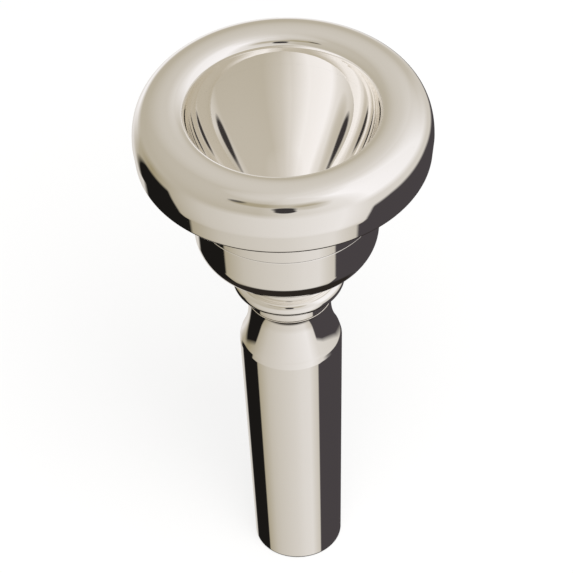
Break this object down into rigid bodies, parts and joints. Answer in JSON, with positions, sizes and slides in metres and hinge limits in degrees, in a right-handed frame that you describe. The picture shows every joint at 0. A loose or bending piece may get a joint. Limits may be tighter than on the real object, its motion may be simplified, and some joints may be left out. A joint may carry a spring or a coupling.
{
  "type": "brass mouthpiece",
  "caption": "Screw-rim mouthpiece for a trombone: rounded rim, deep bowl and tapered shank, turned in brass and plated in bright silver.",
  "frame": {"origin": "centre of the shank's small end, on the axis of the mouthpiece", "axes": "+Z along the axis, from the shank's small end up through the rim; X and Y lie across it, and every direction across is alike"},
  "size_m": [0.039, 0.039, 0.0796],
  "materials": {
    "rim_silver": "mirror-polished silver plate on brass",
    "cup_silver": "mirror-polished silver plate on brass",
    "shank_silver": "mirror-polished silver plate on brass"
  },
  "bodies": {
    "shank": {"shank": "shank_silver"},
    "cup": {"cup": "cup_silver"},
    "rim": {"rim": "rim_silver"}
  },
  "joints": [
    {"name": "cup_unscrews", "type": "slide", "parent": "shank", "child": "cup", "axis": [0, 0, 1], "range_m": [0, 0.014]},
    {"name": "rim_unscrews", "type": "slide", "parent": "cup", "child": "rim", "axis": [0, 0, 1], "range_m": [0, 0.01]}
  ]
}
